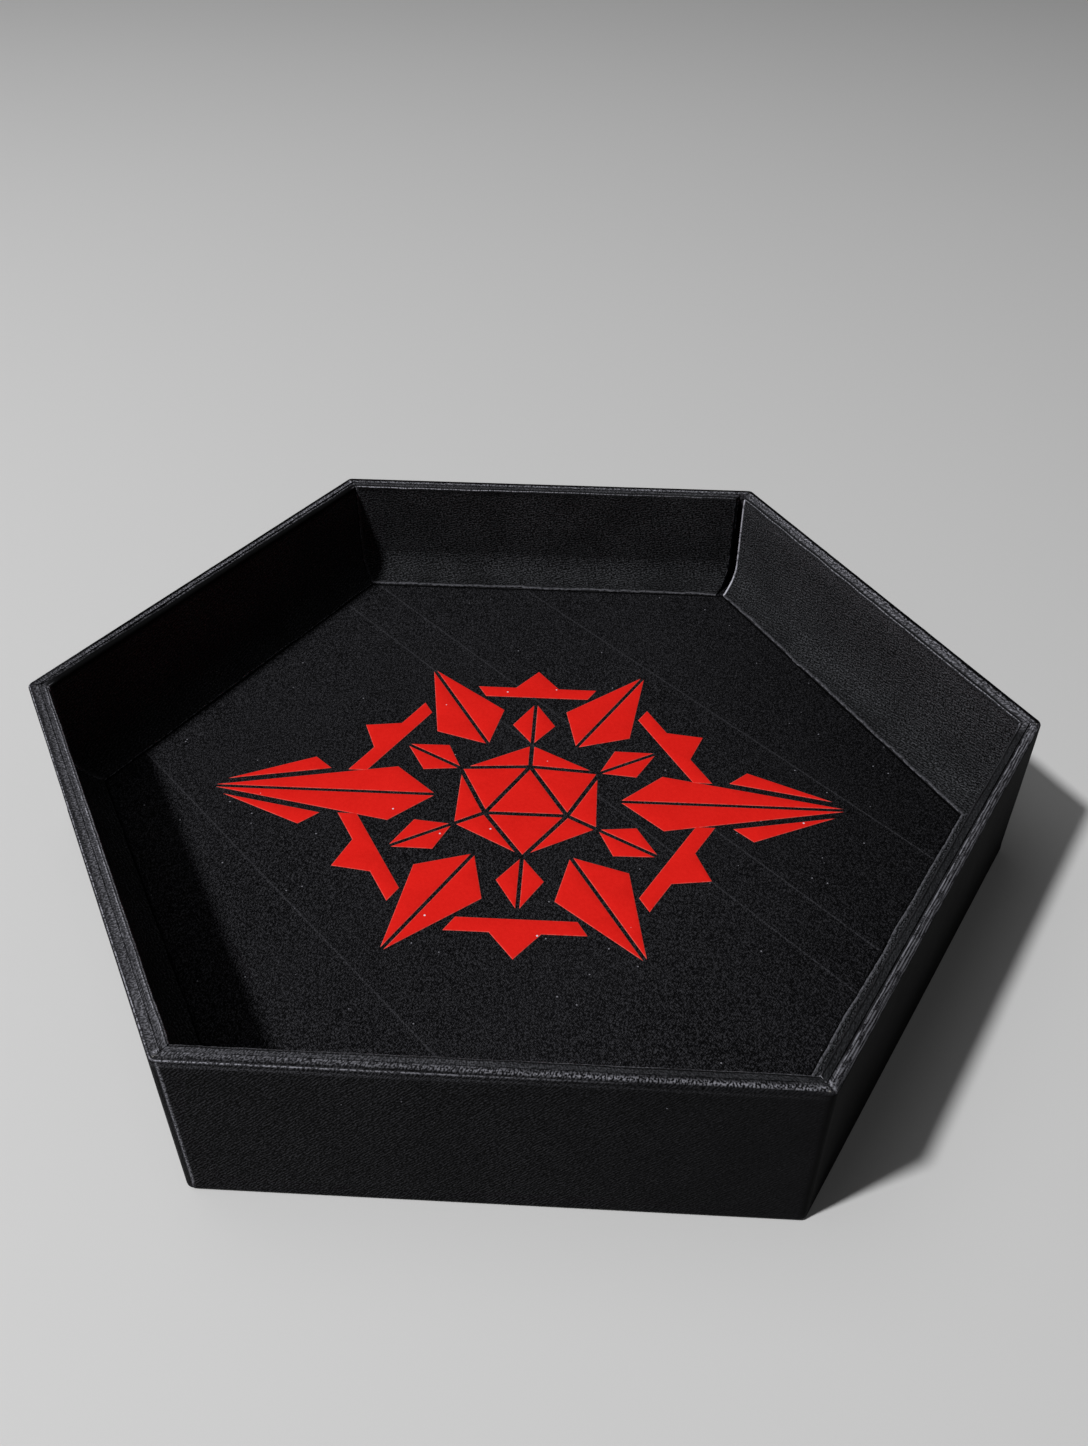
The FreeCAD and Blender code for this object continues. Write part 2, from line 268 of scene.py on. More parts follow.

# The rim: its wear, with painted highlights on the puckers' crowns, how far its palest row lies from its
# inner edge in millimetres, and how much of the wear lies outside that row
RIM_WEAR_AND_GLINTS = {0: 0.7, 15: 0.75, 30: 0.9, 60: 1.0, 90: 1.2, 120: 1.1, 150: 1.0, 180: 0.7, 240: 0.7, 260: 0.9,
            275: 1.3, 299: 1.3, 301: 1.05, 359: 0.95}
RIM_ROW_PLACE = {0: 0.35, 240: 0.35, 256: 0.6, 270: 0.95, 299: 1.25, 301: 0.6, 359: 0.6}
RIM_SPREAD = {0: 0.8, 60: 0.8, 90: 0.3, 120: 0.4, 150: 0.6, 180: 0.8, 240: 1.0, 265: 0.4, 285: 0.1,
              297: 0.1, 303: 0.7}

# The rim's skin: how much of it is dented, how smooth it is between the crowns, and how deep it puckers
RIM_DENTS = {0: 0.7, 30: 0.7, 60: 0.5, 90: 0.4, 150: 0.3, 180: 0.0, 350: 0.0}
RIM_SMOOTHNESS = {0: 0.3, 30: 0.1, 170: 0.1, 185: 0.5, 238: 0.6, 242: 0.3, 285: 0.0, 330: 0.2}
PUCKER = {0: 1.6, 30: 1.1, 60: 0.4, 90: 0.3, 120: 0.6, 180: 0.5, 240: 1.0, 270: 0.6, 300: 0.6, 330: 0.3}

# The mitre lines over the corners: how pale they are rubbed, partly a painted highlight, and how far each
# lies beside its corner
MITRE_WEAR_AND_HIGHLIGHT = {0: 0.4, 60: 0.4, 120: 0.9, 180: 0.2, 240: 0.9, 300: 1.0}
MITRE_LINE = np.array([-0.5, 0.5, 0.6, 0.5, -0.7, 0.5])


def wrap_section():
    """The wrap's outside face in section, from its cut edge underneath to the one inside.

    The steps are finest on the rim, where the skin is puckered.
    """
    top, foot, inner = WRAP_TOP_RADIUS, WRAP_FOOT_RADIUS, WRAP_RIM_INNER_RADIUS
    return joined([(OUTER - UNDER_TURN_WIDTH, FOOT)],
                  2.5, arc((OUTER - foot, FOOT + foot), foot, -QUARTER, 0, 6),
                  1.9, [(OUTER, HEIGHT - 5)],
                  0.4, arc((OUTER - top, HEIGHT - top), top, 0, QUARTER, 8),
                  0.16, arc((WRAP_INNER + inner, HEIGHT - inner), inner, QUARTER, math.pi, 7),
                  6, [(WRAP_INNER, BASE_TOP)])


def wrap_grid(line):
    """A line of the wrap's section taken round the tray and its round corners: round, then along it."""
    radii = np.maximum(SHARPEST_CORNER, WRAP_CORNER_RADIUS - (OUTER - line[:, 0]))
    centres = (line[:, 0] - radii) / COS30
    corners = []
    for mid in np.radians(range(0, 360, 60)):
        turns = mid + np.linspace(-math.pi / 6, math.pi / 6, CORNER_STEPS)[:, None]
        corners.append(np.stack([centres * np.cos(mid) + radii * np.cos(turns),
                                 centres * np.sin(mid) + radii * np.sin(turns)], -1))
    share = np.arange(1, SIDE_STEPS)[:, None, None] / SIDE_STEPS
    loop = []
    for here, following in zip(corners, corners[1:] + corners[:1]):
        loop += [here, here[-1] + (following[0] - here[-1]) * share]
    loop = np.concatenate(loop)
    return np.concatenate([loop, np.broadcast_to(line[:, 1:], (*loop.shape[:2], 1))], -1)


def by_corner(points):
    """The nearest corner's number, and how far each point lies out along its line and beside it."""
    facing = np.arctan2(points[..., 1], points[..., 0])
    corner = np.round(facing * 3 / math.pi)
    turn = facing - corner * math.pi / 3
    away = np.hypot(points[..., 0], points[..., 1])
    return corner.astype(int) % 6, away * np.cos(turn), away * np.sin(turn)


def wrap_places(section, flat):
    """Where each point of the wrap lies: round the tray, on its face, on its top and on its rim.

    The rim ends at the fold, apart from the front right side, where it is drawn out to the edge.
    """
    up = flat[..., 2]
    out = np.broadcast_to(section[:, 0], up.shape)
    on_top = ease(up, HEIGHT - 0.6, HEIGHT - 0.2) * ease(out, WRAP_INNER - 0.1, WRAP_INNER + 0.2)
    outside = (1 - on_top) * ease(out, OUTER - 1, OUTER - 0.5)
    drawn = ease(np.abs(degrees_round(flat) - SIDES["front_right"]), 32, 26)
    past_fold = ease(out, OUTER - FOLD_INSET - 0.15, OUTER - FOLD_INSET + 0.1)
    corner, _, from_corner = by_corner(flat)
    return SimpleNamespace(
        flat=flat, by_angle=reader(flat), out=out, up=up, on_top=on_top, drawn=drawn, outside=outside,
        on_rim=on_top * (1 - past_fold * (1 - drawn)),
        on_face=ease(up, FOOT, FOOT + 3) * outside, corner=corner, from_corner=from_corner,
        crest=hill(out - OUTER + CREST_INSET, CREST_HALF_WIDTH) * (up > HEIGHT - 0.5),
        quick=unevenness(flat, 7, 12))


def wrap_relief(at, normals):
    """How far each point of the wrap moves from its flat shape: in, below the crest and the crowns."""
    slow = unevenness(at.flat, 60, 11)
    fine = unevenness(at.flat, 2.6, 13)
    puckers = unevenness(at.flat * np.array([1, 1, 0.35]), 1.9, 14)
    near_corner = 1 - ease(np.abs(at.from_corner), 0, 5)
    puckered = at.by_angle(PUCKER) * (0.07 + near_corner * 0.06)
    fold = hill(at.out - OUTER + FOLD_INSET, FOLD_HALF_WIDTH) * (at.up > HEIGHT - 0.5)
    sink = at.on_face * (0.10 * (1 + slow) + 0.025 * (1 + at.quick))
    sink += at.on_top * (0.04 * (1 + at.quick) + 0.03 * (1 + fine))
    sink += at.on_rim * puckered * (1 + puckers)
    sink = np.clip((sink + 0.14 * fold) * (1 - 0.8 * at.crest), 0, DEEPEST_WRAP_SINK)
    outward = at.flat[..., :2] / np.linalg.norm(at.flat[..., :2], axis=-1)[..., None]
    shift = -sink[..., None] * normals
    return np.concatenate([outward * shift[..., :1], shift[..., 1:]], -1)


def mitre_fold(points, on_rim):
    """How high the wrap stands at the lapped edge where it is cut and folded over each corner."""
    corner, radial, across = by_corner(points)
    from_line = across - 0.25 * np.sin(radial * 1.9 + corner)
    lap = np.where(from_line > 0, np.exp(-from_line / 1.4), 0)
    valley = hill(from_line + 0.25, 0.3)
    return np.where(np.abs(across) < MITRE_REACH * radial, on_rim * (0.1 * lap - 0.3 * valley), 0)


def wrap_wear(at):
    """How pale the wrap is rubbed, partly a painted highlight, on its crest, its upright corners and its
    mitre lines.
    """
    crest = at.crest * at.by_angle(CREST_WEAR_AND_HIGHLIGHT)
    upright = hill(at.from_corner - 1.05, 0.16) * at.on_face * at.by_angle(UPRIGHT_WEAR_AND_HIGHLIGHT)
    beside_mitre = at.from_corner - MITRE_LINE[at.corner]
    mitre = hill(beside_mitre, 0.2) * at.on_rim * at.by_angle(MITRE_WEAR_AND_HIGHLIGHT)
    return np.max([crest, upright, mitre], axis=0)


def rubbed_rim(at):
    """How pale the rim is rubbed and painted with highlights: most on one row, and on the front right in
    thin drawn-out folds.
    """
    from_row = at.out - WRAP_INNER - at.by_angle(RIM_ROW_PLACE)
    spread = at.by_angle(RIM_SPREAD)
    rubbed = at.on_rim * (spread + (1 - spread) * hill(from_row, 0.5)) * at.by_angle(RIM_WEAR_AND_GLINTS)
    folds = 0.5 + 0.5 * np.cos((from_row + DRAWN_DRIFT * at.quick) * TAU / DRAWN_PITCH)
    folds *= ease(from_row, -0.45, -0.2) * (1 - 0.25 * ease(from_row, 0.2, 0.4))
    return rubbed * (1 - at.drawn * (1 - folds))


def wrap_shade(at):
    """Painted shade on the wrap: in its fold, on its faces, over its corners and along its outer edge."""
    in_fold = 0.9 * hill(at.out - OUTER + 0.9, 0.3)
    in_fold += at.by_angle(FOLD_SPREAD) * hill(at.out - OUTER + 1.4, 0.7)
    in_fold = np.clip(in_fold, 0, 1) * at.on_rim * at.by_angle(FOLD_SHADE)
    upright = hill(at.from_corner, 1.1) * at.by_angle(UPRIGHT_SHADE)
    face = at.on_face * np.maximum(upright, at.by_angle(FACE_SHADE))
    # Painted shade in the valley over each corner's mitre
    mitre = 0.8 * hill(at.from_corner, 0.25) * at.on_rim
    edge = at.on_top * ease(at.out, OUTER - 1.6, OUTER - 1.2) * at.by_angle(EDGE_SHADE)
    return np.max([in_fold, face, mitre, edge], axis=0)


def outer_wrap(materials):
    section = wrap_section()
    normals = -section_normals(section)
    at = wrap_places(section, wrap_grid(section))
    front = at.flat + wrap_relief(at, normals)
    front[..., 2] += mitre_fold(front, at.on_rim)
    back = wrap_grid(section - normals * SKIN)
    marks = {
        "wear_and_highlight": wrap_wear(at),
        "rim": rubbed_rim(at),
        "bevel": hill(HEIGHT - at.up - 1.25, 0.45) * at.outside * at.by_angle(BEVEL_FUZZ_AND_HIGHLIGHT),
        "drawn": at.drawn,
        "dents": at.by_angle(RIM_DENTS),
        "smooth": at.by_angle(RIM_SMOOTHNESS),
        "grain": at.by_angle(GRAIN_CLARITY),
        "shade": wrap_shade(at),
    }
    around = np.linspace(0, 6 * 2 * OUTER * TAN30, len(front) + 1)
    piece = thick_sheet("bound_wrap", front, back, True, around, section_lengths(section), marks, materials)
    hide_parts("outer_wrap")


# Liner panels: a coved skin over each curved card

LINER_STEPS = 200
DEEPEST_LINER_SINK = 0.38
JOINT_CLEARANCE = 0.02
JOINT_GAP = WRAP_INNER - LINER_BACK - JOINT_CLEARANCE
ROUNDED_CORNER = 4.0

# Each panel's own values: how much of its foot's pale cut edge shows, partly a painted highlight, how clear
# its grain is, how much paler its face is just below the top, how deep its cove is puckered near its right
# end, and the painted shade on its face, at the cove's start, and more at its foot
Panel = namedtuple("Panel", "cut grain rub pucker shade")
PANELS = {
    "back_right": Panel(0.14, 0.9, 0.35, 0.02, (0.0, 0.0, 0.5)),
    "back": Panel(0.22, 1.3, 0.0, 0.09, (0.42, 0.15, 0.45)),
    "back_left": Panel(0.0, 0.8, 0.0, 0.03, (0.3, 0.3, 0.2)),
    "front_left": Panel(0.0, 0.8, 0.0, 0.03, (0.3, 0.3, 0.2)),
    "front": Panel(0.3, 1.0, 0.0, 0.03, (0.2, 0.2, 0.2)),
    "front_right": Panel(0.2, 1.0, 0.0, 0.03, (0.1, 0.1, 0.3)),
}

# The panels' tops, by the angle round the tray: how tightly they lie against the wrap, the wear of their
# front fold with its painted highlight, the wear behind it with painted highlights on its crowns, the
# painted shade there, and where that wear starts, in millimetres from the fold
JOINT_TIGHTNESS = {0: 0.9, 59: 0.9, 61: 0.0, 165: 0.0, 180: 1.0, 299: 1.0, 301: 0.5, 330: 0.3, 358: 0.3}
TOP_LINE_WEAR_AND_HIGHLIGHT = {0: 0.9, 30: 0.8, 59: 0.8, 61: 0.3, 90: 0.9, 119: 1.5, 121: 0.0, 179: 0.0, 181: 1.7,
                 239: 1.7, 241: 0.4, 299: 0.6, 301: 0.0, 358: 0.1}
LINER_RIM_WEAR_AND_GLINTS = {0: 0.7, 30: 0.6, 59: 0.6, 61: 0.4, 90: 0.4, 119: 0.5, 121: 0.8, 178: 0.8, 182: 0.75,
                  240: 0.8, 256: 0.5, 268: 0.4, 285: 0.25, 299: 0.2, 301: 0.0, 330: 0.05, 358: 0.05}
LINER_TOP_SHADE = {0: 0.3, 30: 0.3, 60: 0.4, 90: 0.6, 119: 0.7, 121: 1.0, 178: 1.0, 182: 0.3, 240: 0.0,
                   256: 0.15, 285: 0.25, 299: 0.3, 301: 0.4, 358: 0.4}
LINER_RIM_START = {0: 1.0, 59: 1.0, 61: 0.9, 119: 0.9, 121: 1.3, 179: 1.3, 181: 0.0, 359: 0.0}


def liner_section():
    """The liner skin's outside face, from its cut foot on the felt over the top to its back fold."""
    middle = (LINER_FACE - COVE_RADIUS, FELT_TOP + (COVE_RADIUS + SKIN) * math.sin(COVE_SWEEP))
    front, behind = LINER_TOP_RADIUS, LINER_TOP_BACK_RADIUS
    return joined(arc(middle, COVE_RADIUS, -COVE_SWEEP, 0, 16),
                  1.5, arc((LINER_FACE + front, LINER_TOP - front), front, math.pi, QUARTER, 13),
                  0.2, arc((LINER_BACK - behind, LINER_TOP - behind), behind, QUARTER, 0, 4),
                  3, [(LINER_BACK, LINER_TOP - LINER_TURN)])


def liner_grid(side, line):
    """A panel's points out, along and up for a line of its section, closest together at its ends."""
    right_cut, left_cut = liner_cuts(side)
    even = np.linspace(0, 1, LINER_STEPS)[:, None]
    share = 0.5 - 0.5 * np.cos(even * math.pi) * (1 - 0.35 * np.sin(even * math.pi) ** 2)
    out = np.broadcast_to(line[:, 0], (LINER_STEPS, len(line)))
    up = np.broadcast_to(line[:, 1], out.shape)
    low_end = -out * TAN30 + right_cut / COS30
    high_end = out * TAN30 - left_cut / COS30
    return out, low_end + (high_end - low_end) * share, up, share[:, 0]


def liner_cuts(side):
    """How far a panel's right and left ends stand back from the mitres. The back one is cut short."""
    short = BACK_LINER_SHORTFALL if side == "back" else 0
    return MITRE_GAP / 2 + short, MITRE_GAP / 2


def placed(out, along, up, degrees):
    """A side's points, given out from the middle, along the side and up."""
    x, y = compass(degrees)
    return np.stack([out * x - along * y, out * y + along * x, up], -1)


def rounded_foot(from_end):
    """How far the foot comes forward near a corner that the skin goes round in a curve."""
    tangent = ROUNDED_CORNER * TAN30
    short = np.clip(tangent - from_end, 0, tangent)
    return ROUNDED_CORNER - np.sqrt(ROUNDED_CORNER ** 2 - short ** 2)


def liner_places(side, section):
    """Where each point of a panel's skin lies, and how far it belongs to the foot and to the top."""
    out, along, up, share = liner_grid(side, section)
    flat = placed(out, along, up, SIDES[side])
    half = LINER_FACE * TAN30
    return SimpleNamespace(
        side=side, seed=100 + SIDES[side], out=out, along=along, up=up, share=share, flat=flat, half=half,
        by_angle=reader(flat), from_corner=half - np.abs(along),
        foot=1 - ease(up, FELT_TOP + 0.8, FELT_TOP + 5),
        top=ease(up, LINER_TOP - 1.3, LINER_TOP - 0.3))


def liner_sink(at):
    """How deep each point of a panel's skin lies below its flat shape."""
    slow = unevenness(at.flat, 45, at.seed + 1)
    quick = unevenness(at.flat, 9, at.seed + 2)
    fine = unevenness(at.flat, 2.4, at.seed + 3)
    puckers = unevenness(at.flat * np.array([1, 1, 0.1]), 1.5, at.seed + 7)
    face = (1 - at.foot) * (1 - at.top)
    end = 1 - ease(at.from_corner, 0.2, 2.6)
    cove = 1 - ease(at.up, FELT_TOP + 5, FELT_TOP + COVE_RADIUS)
    near_right = 1 - ease(at.half + at.along, 12, 40)
    sink = face * (0.07 * (1 + slow) + 0.03 * (1 + quick)) * ease(at.up, FELT_TOP, FELT_TOP + 8)
    sink += at.top * (0.06 * (1 + quick) + 0.05 * (1 + fine) + 0.05 * end)
    sink += PANELS[at.side].pucker * cove * (1 + puckers) * near_right
    return np.clip(sink, 0, DEEPEST_LINER_SINK)


def liner_foot(at):
    """How far a panel's cut foot wanders out and up along it, and comes forward round a corner."""
    along = on_a_line(at.along[:, :1])
    long_run = unevenness(along, 14, at.seed + 4)
    short_run = unevenness(along, 3, at.seed + 5)
    foot_out = at.foot * (0.22 * long_run + 0.08 * short_run)
    foot_up = at.foot * (0.10 * (1 + long_run) + 0.05 * (1 + short_run))
    if at.side in ("back_right", "front_right"):
        toward = at.along > 0 if at.side == "front_right" else at.along < 0
        forward = at.foot * rounded_foot(np.maximum(at.from_corner, 0))
        foot_out = foot_out - np.where(toward, forward, 0)
    return foot_out, foot_up


def liner_shade(at, lengths, rubbed, beside_line):
    """Painted shade on a panel's skin: on its face, down its cove and on its top."""
    face, cove_start, foot = PANELS[at.side].shade
    turned_up = np.clip(1 - lengths / (COVE_RADIUS * COVE_SWEEP), 0, 1)
    below = np.where(turned_up > 0, cove_start + foot * turned_up ** 0.6, face)
    on_top = at.by_angle(LINER_TOP_SHADE) * (1 - np.clip(rubbed, 0, 1))
    near_top = at.top if at.side == "back_right" else ease(at.up, LINER_TOP - 2, LINER_TOP - 1)
    return below * (1 - near_top) + np.maximum(on_top, 0.9 * beside_line) * near_top


def liner_cut(at, lengths):
    """How much of the pale cut edge shows along a panel's foot and up its left end, partly a painted
    highlight.
    """
    along_foot = PANELS[at.side].cut * (1 - ease(lengths, 0.05, 0.4))
    to_left = at.out * TAN30 - liner_cuts(at.side)[1] / COS30 - at.along
    up_end = (1 - ease(to_left, 0.45, 0.75)) * (1.0 if at.side == "back_right" else 0.05)
    up_end = up_end * (1 - ease(at.up, LINER_TOP - 0.6, LINER_TOP - 0.2))
    return np.maximum(along_foot, up_end)


def liner_marks(at, lengths):
    """What the leatherette reads at each point of a panel's skin."""
    waver = unevenness(on_a_line(at.along), 11, at.seed + 6)
    from_line = at.out - LINER_FACE - 0.32 - 0.1 * waver
    on_top_edge = at.up > LINER_TOP - 1
    # The pale line along the front fold is partly a painted highlight
    top_line = hill(from_line, 0.09) * on_top_edge
    if at.side == "front_left":
        top_line += 0.6 * hill(from_line - 0.62, 0.1) * on_top_edge
    # Painted shade in a thin line just behind the top line
    beside_line = hill(from_line - 0.42, 0.2) * on_top_edge
    start = at.by_angle(LINER_RIM_START)
    rubbed = at.by_angle(LINER_RIM_WEAR_AND_GLINTS) * at.top * ease(from_line, start - 0.3, start + 0.2)
    return {
        "wear_and_highlight": at.by_angle(TOP_LINE_WEAR_AND_HIGHLIGHT) * top_line,
        "rim": rubbed,
        "bevel": PANELS[at.side].rub * hill(LINER_TOP - 1.5 - at.up, 2.2) * (1 - at.top),
        "cut": liner_cut(at, lengths),
        "dents": at.by_angle(RIM_DENTS),
        "smooth": at.by_angle(RIM_SMOOTHNESS),
        "grain": PANELS[at.side].grain * (1 - 0.7 * at.top),
        "shade": liner_shade(at, lengths, rubbed, beside_line),
    }


def liner_cover(side, materials):
    degrees = SIDES[side]
    section = liner_section()
    normals = section_normals(section)
    at = liner_places(side, section)
    sink = liner_sink(at)
    foot_out, foot_up = liner_foot(at)
    tightness = at.by_angle(JOINT_TIGHTNESS)
    tight = tightness * at.top * ease(at.out, LINER_BACK - 0.5, LINER_BACK - 0.1)
    lift = tightness * (HEIGHT - LINER_TOP) * at.top * ease(at.out, LINER_BACK - 1.4, LINER_BACK)
    front_out = at.out - sink * normals[:, 0] + foot_out + JOINT_GAP * tight
    front_up = at.up - sink * normals[:, 1] + foot_up + lift
    front = placed(front_out, at.along, front_up, degrees)
    back_out, back_along, back_up, _ = liner_grid(side, section - normals * SKIN)
    back = placed(back_out + foot_out, back_along, back_up + foot_up + lift, degrees)
    lengths = section_lengths(section)
    cloth_start = degrees * 3.1
    piece = thick_sheet("liner_skin_" + side, front, back, False, at.share * 2 * at.half + cloth_start,
                        lengths, liner_marks(at, lengths), materials)
    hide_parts("liner_cover_" + side)


# The floor

# How far out the panels' feet end on the felt
FEET = LINER_FACE - COVE_RADIUS * (1 - math.cos(COVE_SWEEP))

# The groove that the panels' feet press into the felt, which also carries a painted shadow under the feet
PRESSED_DEPTH = 0.2
PRESSED_HALF_WIDTH = 0.4

# Creases in the felt: their direction in degrees, and how far each lies from the middle, square to it
CREASE_DIRECTION = -46
CREASES = (-68.0, 15.0, 29.0, 63.5)
CREASE_HEIGHT = 0.09
CREASE_HALF_WIDTH = 0.3
CREASE_RUBBED_HALF_WIDTH = 0.22

FELT_UNEVENNESS = 0.05
FELT_STEP = 4.0
FILM_STEP = 5.0
FILM_RIM = 0.2
FOAM_BOW = 0.8


def pressed_by_feet(reach):
    return hill(reach - FEET + 0.1, PRESSED_HALF_WIDTH)


def side_reach(x, y):
    """How far out a point lies, measured square to the nearest side."""
    return np.max([np.abs(x * across + y * ahead) for across, ahead in map(compass, (30, 90, 150))], axis=0)


def creases(x, y, half_width):
    """1 along the creases, falling off smoothly to both sides."""
    across, ahead = compass(CREASE_DIRECTION)
    return sum(hill(y * across - x * ahead - place, half_width) for place in CREASES)


def felt_rise(x, y, creased=True):
    """How far the felt stands above its lowest level, with its creases as low ridges."""
    points = np.stack([x, y, np.zeros_like(x)], -1)
    reach = side_reach(x, y)
    inside = 1 - ease(reach, LINER_FACE - 22, LINER_FACE - COVE_RADIUS)
    rise = inside * FELT_UNEVENNESS * (1 + unevenness(points, 55, 31))
    if creased:
        rise += inside * CREASE_HEIGHT * creases(x, y, CREASE_HALF_WIDTH)
    return rise - PRESSED_DEPTH * pressed_by_feet(reach)


def cut_for_felt(shape, step, along_feet=False):
    """Cuts a flat shape into small faces, with fine rows along each crease and the panels' feet."""
    straight = Vector((*compass(CREASE_DIRECTION), 0))
    square = Vector((-straight.y, straight.x, 0))
    limit = OUTER / COS30
    plain = np.arange(-limit, limit, step)
    fine = [place + k * CREASE_HALF_WIDTH / 2 for place in CREASES for k in range(-4, 5)]
    cuts = [(square, sorted([*plain, *fine])), (straight, plain)]
    if along_feet:
        for angle in SIDES.values():
            rows = [FEET + away for away in (-1.1, -0.7, -0.4, -0.1, 0.2, 0.6)]
            cuts.append((Vector((*compass(angle), 0)), rows))
    for normal, places in cuts:
        for place in places:
            bmesh.ops.bisect_plane(shape, geom=[*shape.verts, *shape.edges, *shape.faces],
                                   dist=0.01, plane_co=normal * float(place), plane_no=normal)


def drop_sides(shape, depth):
    """Closes a top surface into a solid by a straight side and a flat bottom."""
    rim = [edge for edge in shape.edges if edge.is_boundary]
    for made in bmesh.ops.extrude_edge_only(shape, edges=rim)["geom"]:
        if isinstance(made, bmesh.types.BMVert):
            made.co.z = depth
    lower = [edge for edge in shape.edges if edge.is_boundary]
    bmesh.ops.holes_fill(shape, edges=lower, sides=0)
    bmesh.ops.recalc_face_normals(shape, faces=shape.faces)


def hexagon(shape, apothem, up):
    """The six corners of a level hexagon, as new points of the shape."""
    radius = apothem / COS30
    return [shape.verts.new((radius * x, radius * y, up)) for x, y in map(compass, range(0, 360, 60))]


def join_hexagons(shape, rings):
    """Faces between each ring of corners and the next."""
    for low, high in zip(rings, rings[1:]):
        for k in range(6):
            shape.faces.new((low[k], low[(k + 1) % 6], high[(k + 1) % 6], high[k]))


def finish_shape(name, shape, material):
    """Makes a piece of a shape in millimetres, with its faces in the same order each run."""
    shape.verts.index_update()
    faces = sorted([vertex.index for vertex in face.verts] for face in shape.faces)
    mesh = bpy.data.meshes.new(name)
    mesh.from_pydata([vertex.co * MM for vertex in shape.verts], [], faces)
    shape.free()
    return new_piece(name, mesh, [material])


def lay_on_felt(shape, creased=True):
    """Lifts a flat shape's points to the felt's own surface."""
    co = np.array([vertex.co for vertex in shape.verts])
    rise = felt_rise(co[:, 0], co[:, 1], creased)
    for vertex, up in zip(shape.verts, rise):
        vertex.co.z = FELT_TOP - FELT_UNEVENNESS + up + vertex.co.z


def mark_felt(mesh):
    """What the felt's material reads: how near a crease each point lies, and how far in the groove, where a
    shadow under the feet is painted.
    """
    co = np.array([vertex.co for vertex in mesh.vertices]) / MM
    store(mesh, "crease", "FLOAT", "POINT", creases(co[:, 0], co[:, 1], CREASE_RUBBED_HALF_WIDTH))
    store(mesh, "pressed", "FLOAT", "POINT", pressed_by_feet(side_reach(co[:, 0], co[:, 1])))


def felt_floor(material):
    shape = bmesh.new()
    shape.faces.new(hexagon(shape, FELT_REACH, 0))
    cut_for_felt(shape, FELT_STEP, along_feet=True)
    lay_on_felt(shape)
    drop_sides(shape, FELT_BOTTOM)
    piece = finish_shape("felt_floor", shape, material)
    mark_felt(piece.data)
    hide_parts("floor_felt")


def printed_film(material):
    """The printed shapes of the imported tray, eased at their edges and laid on the felt."""
    shape = bmesh.new()
    shape.from_mesh(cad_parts["floor_emblem"].data)
    bmesh.ops.scale(shape, vec=Vector((1, 1, 1)) / MM, verts=shape.verts)
    bmesh.ops.remove_doubles(shape, verts=shape.verts, dist=0.001)
    lower = [vertex for vertex in shape.verts if vertex.co.z < FELT_TOP + FILM / 2]
    bmesh.ops.delete(shape, geom=lower, context="VERTS")
    bmesh.ops.dissolve_limit(shape, angle_limit=0.01, verts=shape.verts, edges=shape.edges)
    for vertex in shape.verts:
        vertex.co.z = 0
    shape.normal_update()
    edge_mark = shape.verts.layers.float.new("edge")
    raised = bmesh.ops.extrude_face_region(shape, geom=shape.faces[:], use_keep_orig=True)["geom"]
    top = [face for face in raised if isinstance(face, bmesh.types.BMFace)]
    for vertex in {vertex for face in top for vertex in face.verts}:
        vertex.co.z = FILM
    border = bmesh.ops.inset_region(shape, faces=top, thickness=FILM_RIM, use_boundary=True,
                                    use_even_offset=True)["faces"]
    inner = {vertex for face in top for vertex in face.verts}
    for vertex in {vertex for face in border for vertex in face.verts} - inner:
        vertex[edge_mark] = 1
        vertex.co.z = FILM * 0.45
    bmesh.ops.recalc_face_normals(shape, faces=shape.faces)
    cut_for_felt(shape, FILM_STEP)
    lay_on_felt(shape, creased=False)
    edges = [vertex[edge_mark] for vertex in shape.verts]
    piece = finish_shape("printed_film", shape, material)
    store(piece.data, "edge", "FLOAT", "POINT", edges)
    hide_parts("floor_emblem")


def foam_sheet(material):
    """The foam under the floor board, with cut sides that bow inwards under its load."""
    shape = bmesh.new()
    rings = [hexagon(shape, FELT_REACH - FOAM_BOW * math.sin(level * math.pi),
                     FOAM_BOTTOM + (FOAM_TOP - FOAM_BOTTOM) * level) for level in np.linspace(0, 1, 7)]
    join_hexagons(shape, rings)
    shape.faces.new(rings[0][::-1])
    shape.faces.new(rings[-1])
    piece = finish_shape("foam_sheet", shape, material)
    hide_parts("floor_pad")


def base_sheet(material):
    """The sheet under the base: flat over the wrap's turned-in edges, pressed up inside them."""
    step_out = OUTER - UNDER_TURN_WIDTH
    edge = [(SHEET_REACH, SKIN), (SHEET_REACH, 0.12), (SHEET_REACH - 0.12, 0.0)]
    pressed_up = [(2.2, 0.0), (1.6, 0.03), (0.9, 0.13), (0.1, 0.27), (-0.6, 0.37), (-1.2, SKIN)]
    shape = bmesh.new()
    below = [hexagon(shape, apothem, up)
             for apothem, up in [*edge, *[(step_out + away, up) for away, up in pressed_up]]]
    above = [hexagon(shape, apothem, up)
             for apothem, up in ((SHEET_REACH - 0.5, SKIN), (step_out, SKIN), (step_out, 2 * SKIN))]
    join_hexagons(shape, below)
    shape.faces.new(below[-1])
    join_hexagons(shape, [below[0], *above])
    shape.faces.new(above[-1])
    bmesh.ops.recalc_face_normals(shape, faces=shape.faces)
    piece = finish_shape("base_sheet", shape, material)
    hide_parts("base_cover")


# Materials

